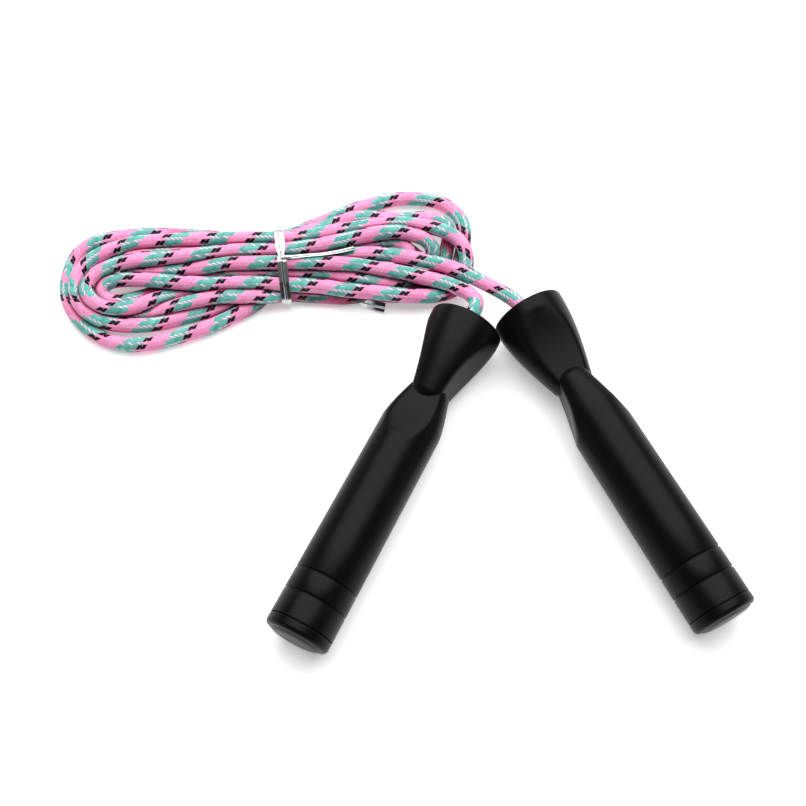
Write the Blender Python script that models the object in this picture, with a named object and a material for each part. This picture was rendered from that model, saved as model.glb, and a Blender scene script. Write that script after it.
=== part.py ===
"""A skipping rope with two ball-bearing handles, its rope folded into a hank and tied.

Everything is in metres, +Z up, lying on the ground. The origin is under the middle of the
two handles. Each handle is modelled upright on its own axis, cap down and mouth up, and
its empty then lays it on the ground, mouth towards +Y.
"""
import math

import bmesh
import bpy
import numpy as np
from mathutils import Matrix, Vector

MM = 0.001
GAP = 0.3 * MM

# Handle, measured up its axis from the flat of the end cap
HANDLE_LENGTH = 163.0 * MM
CAP_JOINT = 6.3 * MM
GRIP_RADIUS = 14.5 * MM
GRIP_RADIUS_FRONT = 14.0 * MM
GROOVES = (18.0 * MM, 28.0 * MM)
GROOVE_DEPTH = 0.6 * MM
GROOVE_HALF_WIDTH = 0.7 * MM
WAIST = 123.5 * MM
WAIST_RADIUS = 10.0 * MM
WAIST_HALF_THICKNESS = 7.4 * MM
TONGUE = 5.0 * MM
GRIP_SHOULDER = 24.0 * MM
MOUTH_RADIUS = 17.3 * MM
MOUTH_ROUND = 1.2 * MM
GRIP_FACET_LENGTH = 28.0 * MM
HEAD_FACET_LENGTH = 34.0 * MM
SHELL_SEGMENTS = 32

# Hollows in the shell
GRIP_BORE = 11.2 * MM
GRIP_BORE_END = 92.0 * MM
CORE_HOLE = 3.0 * MM
CORE_HOLE_START = 110.0 * MM
POCKET_RADIUS = 6.0 * MM
POCKET_DEPTH = 27.0 * MM
SHOULDER_RADIUS = 9.2 * MM
SHOULDER_DEPTH = 14.0 * MM
SEAT_RADIUS = 11.3 * MM
SEAT_DEPTH = 12.3 * MM
RING_BORE = 13.2 * MM
RING_DEPTH = 4.7 * MM
MOUTH_BORE = 14.0 * MM

# Cap
CAP_ROUND = 2.2 * MM
CAP_FLAT_RADIUS = 8.0 * MM
CAP_DOME = 1.2 * MM
CAP_CAVITY = 3.0 * MM
PLUG_LENGTH = 12.0 * MM
PLUG_WALL = 1.8 * MM

# Ball bearing, size 608, and what holds it
BEARING_WIDTH = 7.0 * MM
BEARING_DEPTH = 5.0 * MM
OUTER_RACE = (9.3 * MM, 11.0 * MM)
INNER_RACE = (4.0 * MM, 5.8 * MM)
BALL_PITCH_RADIUS = 7.5 * MM
BALL_RADIUS = 1.7 * MM
RACEWAY_RADIUS = 2.1 * MM
BALL_COUNT = 7
CAGE = (6.9 * MM, 8.1 * MM)
CAGE_WIDTH = 5.4 * MM
SHIELD = (6.4 * MM, 8.9 * MM)
SHIELD_THICKNESS = 0.4 * MM
RING_RADII = (9.8 * MM, 12.9 * MM)
RING_THICKNESS = 3.0 * MM
BEARING_SEGMENTS = 20

# What anchors the rope behind the bearing
ROPE_DIAMETER = 7.0 * MM
WASHER_RADII = (3.8 * MM, 6.4 * MM)
WASHER_THICKNESS = 1.2 * MM
FERRULE_RADII = (3.8 * MM, 5.2 * MM)
FERRULE_LENGTH = 9.0 * MM
ROPE_END_DEPTH = 25.5 * MM

# Where each handle lies: middle of the mouth on the ground plan, heading from cap to mouth,
# and how far the handle is rolled about its own axis
HANDLES = {
    "left": {"mouth": (-15.5 * MM, 67.8 * MM), "heading": 62.8, "roll": 100.0},
    "right": {"mouth": (12.2 * MM, 74.5 * MM), "heading": 118.6, "roll": 5.0},
}

# Hank: corner points of its outline on the ground plan, joined by a smooth curve
HANK_OUTLINE = (
    (-207.5, 91), (-206.5, 105), (-200, 115.5), (-188, 122.5), (-165, 125), (-135, 125.5),
    (-110, 125.5), (-97, 126), (-86, 131), (-73, 139.5), (-58, 146), (-42, 148), (-26, 145),
    (-15, 136), (-10.5, 122), (-11.5, 108), (-15.5, 99.5), (-22.5, 94), (-32, 87), (-46, 84.5),
    (-62, 85.5), (-80, 86.5), (-97, 86.5), (-108, 85.5), (-120, 80.5), (-136, 70.5), (-155, 62.5),
    (-174, 60), (-189, 63.5), (-199.5, 73), (-205.5, 81.5),
)
HANK_BOTTOM = 0.7 * MM
HANK_TOP = 16.0 * MM
HANK_ROUND = 3.0 * MM
OUTLINE_STEPS = 2

# Free ends of the rope, from the hank to the handle's mouth
LEAD_ROUTES = {
    "left": ((-17.0, 91.3, 9.6), (-11.8, 87.0, 11.4), (-9.9, 81.8, 14.0), (-11.7, 75.6, 16.7)),
    "right": ((-8.4, 97.4, 11.0), (-3.0, 92.6, 12.2), (2.7, 87.0, 14.6), (8.2, 80.8, 16.7)),
}
LEAD_POINT_SPACING = 2.5

# Twist tie round the hank
TIE_X = -101.0 * MM
TIE_WIDTH = 4.5 * MM
TIE_THICKNESS = 0.4 * MM
TIE_Y = (85.6 * MM, 126.6 * MM)
TIE_TOP = 16.7 * MM
TIE_CORNER = 3.0 * MM


def clear_scene():
    for obj in list(bpy.data.objects):
        bpy.data.objects.remove(obj, do_unlink=True)


def material(name, color, roughness, metallic=0.0):
    mat = bpy.data.materials.new(name)
    mat.use_nodes = True
    shader = mat.node_tree.nodes["Principled BSDF"]
    shader.inputs["Base Color"].default_value = (*color, 1.0)
    shader.inputs["Roughness"].default_value = roughness
    shader.inputs["Metallic"].default_value = metallic
    mat.diffuse_color = (*color, 1.0)
    return mat


def add_object(name, mesh, mat, parent=None):
    obj = bpy.data.objects.new(name, mesh)
    bpy.context.scene.collection.objects.link(obj)
    if mat:
        mesh.materials.append(mat)
    obj.parent = parent
    return obj


def mesh_from(bm, name, smooth_angle=35.0):
    bmesh.ops.recalc_face_normals(bm, faces=bm.faces)
    mesh = bpy.data.meshes.new(name)
    bm.to_mesh(mesh)
    bm.free()
    mesh.shade_smooth()
    mesh.set_sharp_from_angle(angle=math.radians(smooth_angle))
    return mesh


def turned(name, profile, segments):
    """Spin an outline of (radius, height) points about Z. A point on the axis closes it."""
    bm = bmesh.new()
    verts = [bm.verts.new((radius, 0.0, height)) for radius, height in profile]
    on_axis = profile[0][0] == 0.0 and profile[-1][0] == 0.0
    pairs = list(zip(verts, verts[1:]))
    if not on_axis:
        pairs.append((verts[-1], verts[0]))
    edges = [bm.edges.new(pair) for pair in pairs]
    bmesh.ops.spin(
        bm, geom=verts + edges, cent=(0, 0, 0), axis=(0, 0, 1), dvec=(0, 0, 0),
        angle=2 * math.pi, steps=segments, use_merge=True, use_duplicate=False,
    )
    bmesh.ops.remove_doubles(bm, verts=bm.verts, dist=0.001 * MM)
    return mesh_from(bm, name)


def lofted(name, sections):
    """Join rings of points, one for each height, into one closed solid."""
    bm = bmesh.new()
    rings = []
    for points in sections:
        ring = [bm.verts.new(point) for point in points]
        edges = [bm.edges.new((ring[i - 1], ring[i])) for i in range(len(ring))]
        rings.append((ring, edges))
    for (_, lower), (_, upper) in zip(rings, rings[1:]):
        bmesh.ops.bridge_loops(bm, edges=lower + upper)
    bm.faces.new(rings[0][0][::-1])
    bm.faces.new(rings[-1][0])
    bmesh.ops.triangulate(bm, faces=[f for f in bm.faces if len(f.verts) > 4])
    return mesh_from(bm, name, 25.0)


def cut_disc(radius, half_thickness, turn, height):
    """A round section with a flat on two opposite sides, the flats facing 'turn'."""
    points = []
    for i in range(SHELL_SEGMENTS):
        angle = 2 * math.pi * i / SHELL_SEGMENTS
        across = abs(math.cos(angle - turn))
        reach = radius if across * radius <= half_thickness else half_thickness / across
        points.append((reach * math.cos(angle), reach * math.sin(angle), height))
    return points


def ridge_radius(distance, full_radius, length):
    """How far a ridge stands out, at a distance from the waist into its own half."""
    if distance >= length:
        return full_radius
    if distance >= 0.0:
        return WAIST_RADIUS + (full_radius - WAIST_RADIUS) * math.sin(math.pi / 2 * distance / length)
    nose = max(1.0 - (distance / TONGUE) ** 2, 0.0)
    return WAIST_HALF_THICKNESS + (WAIST_RADIUS - WAIST_HALF_THICKNESS) * math.sqrt(nose)


def facet_distance(distance, full_radius, length):
    """How far a flat lies from the axis, at a distance from the waist into its own half."""
    if distance >= length:
        return full_radius
    if distance <= 0.0:
        return WAIST_HALF_THICKNESS * (1.0 + 0.5 * distance / TONGUE)
    share = distance / length
    return WAIST_HALF_THICKNESS + (full_radius - WAIST_HALF_THICKNESS) * (0.35 * share + 0.65 * share ** 2)


def grip_radius(height):
    share = (height - CAP_JOINT) / (WAIST - GRIP_SHOULDER - CAP_JOINT)
    radius = GRIP_RADIUS + (GRIP_RADIUS_FRONT - GRIP_RADIUS) * min(share, 1.0)
    for groove in GROOVES:
        if abs(height - groove) < GROOVE_HALF_WIDTH:
            radius -= GROOVE_DEPTH * (1.0 - abs(height - groove) / GROOVE_HALF_WIDTH)
    return radius


def grip_mesh():
    heights = [CAP_JOINT + GAP]
    for groove in GROOVES:
        heights += [groove - GROOVE_HALF_WIDTH, groove, groove + GROOVE_HALF_WIDTH]
    heights.append(60.0 * MM)
    steps = 7
    start = WAIST - GRIP_FACET_LENGTH
    heights += [start + GRIP_FACET_LENGTH * i / steps for i in range(steps + 1)]
    heights += [WAIST + TONGUE * share for share in (0.45, 0.8, 0.97)]
    sections = []
    for height in heights:
        distance = WAIST - height
        radius = min(grip_radius(height), ridge_radius(distance, GRIP_RADIUS, GRIP_SHOULDER))
        flat = facet_distance(distance, GRIP_RADIUS, GRIP_FACET_LENGTH)
        sections.append(cut_disc(radius, min(flat, radius), 0.0, height))
    return lofted("grip_form", sections)


def head_mesh():
    head_length = HANDLE_LENGTH - WAIST
    heights = [WAIST - TONGUE * share for share in (0.97, 0.8, 0.45)]
    steps = 7
    heights += [WAIST + (head_length - MOUTH_ROUND) * i / steps for i in range(steps + 1)]
    heights += [HANDLE_LENGTH - MOUTH_ROUND * share for share in (0.3, 0.0)]
    sections = []
    for height in heights:
        distance = height - WAIST
        radius = ridge_radius(distance, MOUTH_RADIUS, head_length)
        into_round = min(max(0.0, height - (HANDLE_LENGTH - MOUTH_ROUND)) / MOUTH_ROUND, 1.0)
        radius -= MOUTH_ROUND * (1.0 - math.sqrt(1.0 - into_round ** 2))
        flat = facet_distance(distance, MOUTH_RADIUS, HEAD_FACET_LENGTH)
        sections.append(cut_disc(radius, min(flat, radius), math.pi / 2, height))
    return lofted("head_form", sections)


def bore_mesh():
    """Everything that is hollow in the shell, as one stepped plug."""
    top = HANDLE_LENGTH
    over = 2.0 * MM
    return turned("bore_form", [
        (0.0, -over),
        (GRIP_BORE, -over),
        (GRIP_BORE, GRIP_BORE_END),
        (CORE_HOLE, CORE_HOLE_START),
        (CORE_HOLE, top - POCKET_DEPTH - 2.0 * MM),
        (POCKET_RADIUS, top - POCKET_DEPTH),
        (POCKET_RADIUS, top - SHOULDER_DEPTH),
        (SHOULDER_RADIUS, top - SHOULDER_DEPTH),
        (SHOULDER_RADIUS, top - SEAT_DEPTH),
        (SEAT_RADIUS, top - SEAT_DEPTH),
        (SEAT_RADIUS, top - RING_DEPTH),
        (RING_BORE, top - RING_DEPTH),
        (RING_BORE, top - RING_DEPTH + RING_THICKNESS + GAP),
        (MOUTH_BORE, top - 0.5 * MM),
        (MOUTH_BORE + over, top + over),
        (0.0, top + over),
    ], SHELL_SEGMENTS)


def cap_mesh():
    rim = []
    for i in range(4):
        angle = math.pi / 2 * i / 3
        rim.append((
            GRIP_RADIUS - CAP_ROUND + CAP_ROUND * math.sin(angle),
            CAP_DOME + CAP_ROUND - CAP_ROUND * math.cos(angle),
        ))
    plug = GRIP_BORE - GAP
    return turned("cap_form", [
        (0.0, 0.0),
        (CAP_FLAT_RADIUS, 0.0),
        *rim,
        (GRIP_RADIUS, CAP_JOINT),
        (plug, CAP_JOINT),
        (plug, CAP_JOINT + PLUG_LENGTH - 1.0 * MM),
        (plug - 0.6 * MM, CAP_JOINT + PLUG_LENGTH),
        (plug - PLUG_WALL, CAP_JOINT + PLUG_LENGTH),
        (plug - PLUG_WALL, CAP_CAVITY),
        (0.0, CAP_CAVITY),
    ], SHELL_SEGMENTS)


def raceway(radius_of_face, sign, middle):
    """Points of the groove that the balls run in, up the face of a race."""
    reach = BALL_PITCH_RADIUS - radius_of_face
    half = math.sqrt(RACEWAY_RADIUS ** 2 - reach ** 2)
    points = []
    for share in (-1.0, 0.0, 1.0):
        height = half * share
        depth = math.sqrt(RACEWAY_RADIUS ** 2 - height ** 2)
        points.append((BALL_PITCH_RADIUS + sign * depth, middle + height))
    return points


def outer_race_mesh(middle):
    inner, outer = OUTER_RACE
    low = middle - BEARING_WIDTH / 2
    high = middle + BEARING_WIDTH / 2
    chamfer = 0.4 * MM
    return turned("outer_race_form", [
        (inner, low), *raceway(inner, 1.0, middle), (inner, high),
        (outer - chamfer, high), (outer, high - chamfer),
        (outer, low + chamfer), (outer - chamfer, low),
    ], BEARING_SEGMENTS)


def inner_race_mesh(middle):
    inner, outer = INNER_RACE
    low = middle - BEARING_WIDTH / 2
    high = middle + BEARING_WIDTH / 2
    chamfer = 0.3 * MM
    return turned("inner_race_form", [
        (inner + chamfer, low), (outer, low), *raceway(outer, -1.0, middle), (outer, high),
        (inner + chamfer, high), (inner, high - chamfer), (inner, low + chamfer),
    ], BEARING_SEGMENTS)


def ring_mesh(radii, low, high, segments=BEARING_SEGMENTS, chamfer=0.0):
    inner, outer = radii
    if chamfer:
        return turned("ring_form", [
            (inner, low), (outer - chamfer, low), (outer, low + chamfer),
            (outer, high - chamfer), (outer - chamfer, high), (inner, high),
        ], segments)
    return turned("ring_form", [(inner, low), (outer, low), (outer, high), (inner, high)], segments)


def ball_places(middle):
    for i in range(BALL_COUNT):
        angle = 2 * math.pi * i / BALL_COUNT
        yield Vector((BALL_PITCH_RADIUS * math.cos(angle), BALL_PITCH_RADIUS * math.sin(angle), middle))


def ball_mesh(radius, name):
    bm = bmesh.new()
    bmesh.ops.create_uvsphere(bm, u_segments=8, v_segments=6, radius=radius)
    return mesh_from(bm, name, 60.0)


def pocket_mesh(middle):
    """Seven spheres in a ring, a little larger than the balls, that cut the cage."""
    bm = bmesh.new()
    for place in ball_places(middle):
        bmesh.ops.create_uvsphere(
            bm, u_segments=8, v_segments=6, radius=BALL_RADIUS + GAP,
            matrix=Matrix.Translation(place),
        )
    return mesh_from(bm, "pocket_form")


def hide_guide(obj):
    obj.hide_render = True
    obj.display_type = "WIRE"


def boolean(obj, guide, operation):
    modifier = obj.modifiers.new(operation.lower(), "BOOLEAN")
    modifier.operation = operation
    modifier.solver = "EXACT"
    modifier.object = guide


def handle_frame(side):
    """The empty that lays a handle down. It leans so that cap and mouth both touch the ground."""
    place = HANDLES[side]
    heading = math.radians(place["heading"])
    lean = math.asin((MOUTH_RADIUS - GRIP_RADIUS) / (HANDLE_LENGTH - CAP_ROUND))
    axis = Vector((
        math.cos(heading) * math.cos(lean), math.sin(heading) * math.cos(lean), math.sin(lean),
    ))
    side_way = Vector((math.sin(heading), -math.cos(heading), 0.0))
    up_way = side_way.cross(axis)
    mouth = Vector((*place["mouth"], MOUTH_RADIUS * math.cos(lean)))
    turn = Matrix((side_way, up_way, axis)).transposed().to_4x4()
    return Matrix.Translation(mouth - axis * HANDLE_LENGTH) @ turn, mouth, axis


def build_handle(side, mats):
    matrix, _, _ = handle_frame(side)
    axis_empty = bpy.data.objects.new(f"{side}_handle_axis", None)
    bpy.context.scene.collection.objects.link(axis_empty)
    axis_empty.matrix_world = matrix @ Matrix.Rotation(math.radians(HANDLES[side]["roll"]), 4, "Z")

    shell = add_object(f"{side}_handle_shell", grip_mesh(), mats["plastic"], axis_empty)
    head = add_object(f"{side}_head_guide", head_mesh(), None, axis_empty)
    bore = add_object(f"{side}_bore_guide", bore_mesh(), None, axis_empty)
    boolean(shell, head, "UNION")
    boolean(shell, bore, "DIFFERENCE")
    hide_guide(head)
    hide_guide(bore)
    add_object(f"{side}_end_cap", cap_mesh(), mats["plastic"], axis_empty)

    top = HANDLE_LENGTH
    middle = top - BEARING_DEPTH - BEARING_WIDTH / 2
    ring_low = top - RING_DEPTH + 0.1 * MM
    ring = ring_mesh(RING_RADII, ring_low, ring_low + RING_THICKNESS, chamfer=0.4 * MM)
    add_object(f"{side}_retaining_ring", ring, mats["plastic"], axis_empty)
    add_object(f"{side}_bearing_outer_race", outer_race_mesh(middle), mats["steel"], axis_empty)
    add_object(f"{side}_bearing_inner_race", inner_race_mesh(middle), mats["steel"], axis_empty)
    for end, sign in (("front", 1.0), ("rear", -1.0)):
        plane = middle + sign * (BEARING_WIDTH / 2 - 0.35 * MM)
        shield = ring_mesh(SHIELD, plane - SHIELD_THICKNESS / 2, plane + SHIELD_THICKNESS / 2)
        add_object(f"{side}_bearing_{end}_shield", shield, mats["steel"], axis_empty)

    cage_mesh = ring_mesh(CAGE, middle - CAGE_WIDTH / 2, middle + CAGE_WIDTH / 2)
    cage = add_object(f"{side}_bearing_cage", cage_mesh, mats["steel"], axis_empty)
    pockets = add_object(f"{side}_pocket_guide", pocket_mesh(middle), None, axis_empty)
    boolean(cage, pockets, "DIFFERENCE")
    hide_guide(pockets)
    for number, place in enumerate(ball_places(middle), 1):
        ball = add_object(f"{side}_bearing_ball_{number}", ball_mesh(BALL_RADIUS, "ball"), mats["steel"], axis_empty)
        ball.location = place

    washer_high = top - BEARING_DEPTH - BEARING_WIDTH - GAP
    washer = ring_mesh(WASHER_RADII, washer_high - WASHER_THICKNESS, washer_high)
    add_object(f"{side}_rope_washer", washer, mats["steel"], axis_empty)
    ferrule_high = washer_high - WASHER_THICKNESS - GAP
    ferrule = ring_mesh(FERRULE_RADII, ferrule_high - FERRULE_LENGTH, ferrule_high, chamfer=0.5 * MM)
    add_object(f"{side}_rope_ferrule", ferrule, mats["steel"], axis_empty)


def smooth_curve(points, steps, closed=False):
    """Points along a smooth curve through 'points', a few steps for each stretch."""
    knots = [Vector(point) for point in points]
    count = len(knots)
    curve = []
    last = count if closed else count - 1
    for i in range(last):
        if closed:
            before, start, end, after = (knots[(i + k) % count] for k in (-1, 0, 1, 2))
        else:
            start, end = knots[i], knots[i + 1]
            before = knots[i - 1] if i > 0 else start + (start - end)
            after = knots[i + 2] if i + 2 < count else end + (end - start)
        for step in range(steps):
            t = step / steps
            curve.append(0.5 * (
                2 * start + (end - before) * t
                + (2 * before - 5 * start + 4 * end - after) * t ** 2
                + (3 * start - before - 3 * end + after) * t ** 3
            ))
    if not closed:
        curve.append(knots[-1])
    return curve


def evenly_spaced(points, spacing):
    lengths = [0.0]
    for first, second in zip(points, points[1:]):
        lengths.append(lengths[-1] + (second - first).length)
    count = max(2, round(lengths[-1] / spacing) + 1)
    wanted = np.linspace(0.0, lengths[-1], count)
    columns = [np.interp(wanted, lengths, [point[k] for point in points]) for k in range(3)]
    return [Vector(row) for row in zip(*columns)]


def build_hank(mats):
    outline = smooth_curve([(x * MM, y * MM, 0.0) for x, y in HANK_OUTLINE], OUTLINE_STEPS, closed=True)
    levels = (
        (HANK_BOTTOM, HANK_ROUND), (HANK_BOTTOM + 0.3 * HANK_ROUND, 0.3 * HANK_ROUND),
        (HANK_BOTTOM + HANK_ROUND, 0.0), (HANK_TOP - HANK_ROUND, 0.0),
        (HANK_TOP - 0.3 * HANK_ROUND, 0.3 * HANK_ROUND), (HANK_TOP, HANK_ROUND),
    )
    rings = []
    count = len(outline)
    for height, inset in levels:
        ring = []
        for i, point in enumerate(outline):
            along = outline[(i + 1) % count] - outline[i - 1]
            inward = Vector((along.y, -along.x, 0.0)).normalized()
            ring.append((point + inward * inset + Vector((0, 0, height))).to_tuple())
        rings.append(ring)
    add_object("rope_hank", lofted("hank_form", rings), mats["rope"])


def build_lead(side, mats):
    """A free end: from the hank, into the mouth, through the bearing to the ferrule's far side."""
    _, mouth, axis = handle_frame(side)
    route = [Vector(point) * MM for point in LEAD_ROUTES[side]]
    route += [mouth - axis * depth for depth in (1.0 * MM, 8.0 * MM, 16.0 * MM, ROPE_END_DEPTH)]
    points = evenly_spaced(smooth_curve(route, 12), LEAD_POINT_SPACING * ROPE_DIAMETER * 0.4)
    curve = bpy.data.curves.new(f"{side}_rope_lead", "CURVE")
    curve.dimensions = "3D"
    curve.bevel_depth = ROPE_DIAMETER / 2
    curve.bevel_resolution = 2
    curve.use_fill_caps = True
    spline = curve.splines.new("POLY")
    spline.points.add(len(points) - 1)
    for spot, point in zip(spline.points, points):
        spot.co = (*point, 1.0)
    curve.materials.append(mats["rope"])
    lead = bpy.data.objects.new(f"{side}_rope_lead", curve)
    bpy.context.scene.collection.objects.link(lead)


def rounded_frame(y_low, y_high, z_low, z_high, corner):
    points = []
    for y, z, start in (
        (y_high - corner, z_high - corner, 0.0), (y_low + corner, z_high - corner, 90.0),
        (y_low + corner, z_low + corner, 180.0), (y_high - corner, z_low + corner, 270.0),
    ):
        for step in range(4):
            angle = math.radians(start + 30.0 * step)
            points.append((y + corner * math.cos(angle), z + corner * math.sin(angle)))
    return points


def build_tie(mats):
    """A flat ribbon closed round the hank."""
    y_low, y_high = TIE_Y
    outside = rounded_frame(y_low, y_high, 0.0, TIE_TOP, TIE_CORNER)
    inside = rounded_frame(
        y_low + TIE_THICKNESS, y_high - TIE_THICKNESS, TIE_THICKNESS, TIE_TOP - TIE_THICKNESS,
        TIE_CORNER - TIE_THICKNESS,
    )
    bm = bmesh.new()
    rings = []
    for x, outline in (
        (TIE_X - TIE_WIDTH / 2, outside), (TIE_X + TIE_WIDTH / 2, outside),
        (TIE_X + TIE_WIDTH / 2, inside), (TIE_X - TIE_WIDTH / 2, inside),
    ):
        rings.append([bm.verts.new((x, y, z)) for y, z in outline])
    count = len(outside)
    for i in range(4):
        first, second = rings[i - 1], rings[i]
        for k in range(count):
            bm.faces.new((first[k - 1], first[k], second[k], second[k - 1]))
    add_object("twist_tie", mesh_from(bm, "tie_form"), mats["tie"])


def main():
    clear_scene()
    mats = {
        "plastic": material("black_plastic", (0.012, 0.012, 0.013), 0.35),
        "steel": material("bearing_steel", (0.62, 0.62, 0.64), 0.25, 1.0),
        "rope": material("braided_rope", (0.90, 0.30, 0.48), 0.8),
        "tie": material("silver_tie", (0.80, 0.81, 0.82), 0.2, 0.6),
    }
    for side in HANDLES:
        build_handle(side, mats)
        build_lead(side, mats)
    build_hank(mats)
    build_tie(mats)


main()
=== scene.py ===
"""The looks of a skipping rope: one long braided rope folded into a tied hank, and its two
ball-bearing handles. Everything is in the row frame, in metres, +Z up.
"""

import math
from types import SimpleNamespace

import bmesh
import bpy
import numpy as np
from mathutils import Matrix, Vector

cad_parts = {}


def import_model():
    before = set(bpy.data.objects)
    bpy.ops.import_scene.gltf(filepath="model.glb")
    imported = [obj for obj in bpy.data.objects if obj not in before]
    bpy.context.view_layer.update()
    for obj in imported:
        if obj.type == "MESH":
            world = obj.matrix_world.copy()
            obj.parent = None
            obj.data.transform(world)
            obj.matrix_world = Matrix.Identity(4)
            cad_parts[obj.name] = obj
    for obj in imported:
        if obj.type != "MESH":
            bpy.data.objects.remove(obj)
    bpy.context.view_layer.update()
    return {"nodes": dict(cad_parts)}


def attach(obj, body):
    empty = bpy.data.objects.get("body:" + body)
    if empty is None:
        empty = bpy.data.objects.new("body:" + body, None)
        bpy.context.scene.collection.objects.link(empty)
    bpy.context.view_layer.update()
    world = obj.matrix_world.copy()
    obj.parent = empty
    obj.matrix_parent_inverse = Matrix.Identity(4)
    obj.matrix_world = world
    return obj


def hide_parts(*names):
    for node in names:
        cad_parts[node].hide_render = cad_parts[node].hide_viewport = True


MM = 0.001
GAP = 0.3 * MM

# Camera
CAMERA_TARGET = (-44.85 * MM, 36.35 * MM, 0.0)
CAMERA_DISTANCE = 553.9 * MM
CAMERA_ELEVATION = 66.7
CAMERA_LENS = 53.6

# Studio light: a sky that is bright about one direction and pale in a band at the horizon
BRIGHT_SKY = (0.0, 0.42, 0.91)
SKY_BAND = (0.62, 0.95)
SKY_DARK = 0.02
SKY_BRIGHT = 0.6
HORIZON_BRIGHT = 0.8
HORIZON_BAND = (0.14, 0.34)
KEY_PLACE = (0.05, 0.62, 1.15)
KEY_AIM = (-0.03, 0.04, 0.0)
KEY_POWER = 32.0
KEY_SIZE = 2.0
# Painted glow of the floor: its emission runs from the first value near the middle to the second far out
FLOOR_GLOW = (0.38, 0.85)
FLOOR_NEAR = 0.6
FLOOR_FAR = 2.5
FLOOR_REACH = 12.0

# Rope
ROPE_DIAMETER = 7.0 * MM
ROPE_END_DEPTH = 25.5 * MM
ROPE_SIDES = 24
RING_SPACING = 1.0 * MM
ROPE_TOP = 0.75
STRIPE_PITCH = 22.3

# Braid, with lengths in stitches
BRAID_COLUMNS = 12
WOVEN_SHARE = 0.62
STITCHES_PER_BAND = 10
STITCH_LEAN = 0.85
TEAL_STITCHES = 3.9
BLACK_LENGTH = 2.5
BLACK_HALF_WIDTH = 0.43
JOIN_LEAN = 0.5
JOIN_HALF_WIDTH = 0.28
DOT_HALF_WIDTH = 0.28
THREAD_HALF_WIDTH = 0.46

# Painted shade on the rope: darker where strands touch, in rope radii, and where one strand lies over
# another, in millimetres
PAINTED_CREASE_NEAR = 1.05
PAINTED_CREASE_FAR = 1.45
COVER_RISE = 4.0
COVER_NEAR = 4.0
COVER_FAR = 11.0
COVER_DEPTH = 0.85

# How the strands settle against each other, in millimetres
SETTLE_STEP = 2.0
SETTLE_ROUNDS = 150
SETTLE_GAP = 6.4
SETTLE_FLOOR = 3.5
SETTLE_HOLD = 0.05
SETTLE_APART = 20.0
SETTLE_LOOK = 4.0
SETTLE_REFRESH = 10
SETTLE_ENDS = 10
# Folds whose middle sags more than this are opened out, in so many rounds
EASE_ROUNDS = 60
EASE_SAG = 1.2

# Where each strand passes through the tie: across the hank and up, in millimetres
TIE_X = -101.0
PLACES = {
    "b1": (92.0, 4.0), "b2": (98.0, 3.8), "b3": (104.0, 3.8),
    "b4": (110.0, 3.8), "b5": (116.0, 3.8), "b6": (122.2, 4.6),
    "m1": (92.4, 10.4), "m2": (98.8, 9.4), "m3": (106.6, 9.8),
    "m4": (112.8, 9.4), "m5": (119.2, 9.8),
    "t1": (101.8, 15.2), "t2": (108.8, 15.6), "t3": (115.0, 14.6),
}

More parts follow.
